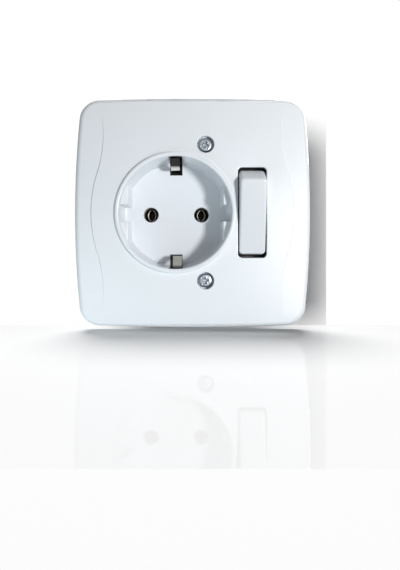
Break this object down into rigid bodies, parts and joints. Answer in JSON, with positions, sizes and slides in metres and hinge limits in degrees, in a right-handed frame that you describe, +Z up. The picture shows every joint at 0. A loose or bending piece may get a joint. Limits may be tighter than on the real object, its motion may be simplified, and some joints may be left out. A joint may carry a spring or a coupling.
{
  "type": "flush earthed socket outlet with rocker switch",
  "caption": "Flush earthed socket with round well, side earth prongs and a rocker switch beside it, under one bowed glossy cover plate.",
  "frame": {"origin": "middle of the cover plate on the wall plane, midway between the two box-screw slots, level with the strap's back face", "axes": "+X right and +Z up seen from the room; +Y into the wall box; the front faces -Y"},
  "size_m": [0.083, 0.0417, 0.0806],
  "materials": {
    "white_moulding": "glossy moulded thermoset",
    "white_rocker": "satin gloss moulded plastic",
    "base_moulding": "matt pressed thermoset",
    "zinc_steel": "blue zinc plating",
    "brass_strip": "bare stamped brass",
    "nickel_strip": "satin nickel plating on spring brass",
    "silver_tip": "bare silver alloy"
  },
  "bodies": {
    "base": {"cover_plate": "white_moulding", "cover_screws": "zinc_steel", "support_strap": "zinc_steel", "strap_rivets": "zinc_steel", "base_housing": "base_moulding", "contact_retainer": "base_moulding", "retainer_screw": "zinc_steel", "neutral_contact": "brass_strip", "live_contact": "brass_strip", "earth_bridge": "nickel_strip", "earth_terminal": "brass_strip", "pin_terminal_screws": "zinc_steel", "pin_clamp_plates": "zinc_steel", "earth_terminal_screw": "zinc_steel", "earth_clamp_plate": "zinc_steel", "feed_terminal": "brass_strip", "fixed_contact": "brass_strip", "switch_terminal_screws": "zinc_steel", "switch_clamp_plates": "zinc_steel", "fixed_contact_tip": "silver_tip", "rocker_pin": "zinc_steel"},
    "rocker": {"rocker": "white_rocker", "rocker_plunger": "white_rocker", "plunger_spring": "zinc_steel"},
    "seesaw": {"moving_contact": "brass_strip", "moving_contact_tip": "silver_tip"}
  },
  "joints": [
    {"name": "rocker_hinge", "type": "hinge", "parent": "base", "child": "rocker", "pos_m": [0.02095, -0.0043, 0], "axis": [1, 0, 0], "range_deg": [-24, 0]},
    {"name": "seesaw_hinge", "type": "hinge", "parent": "base", "child": "seesaw", "pos_m": [0.02095, 0.0084, 0], "axis": [1, 0, 0], "range_deg": [0, 20]}
  ],
  "couplings": [
    {"joint": "seesaw_hinge", "follows": "rocker_hinge", "ratio": -0.83333}
  ]
}
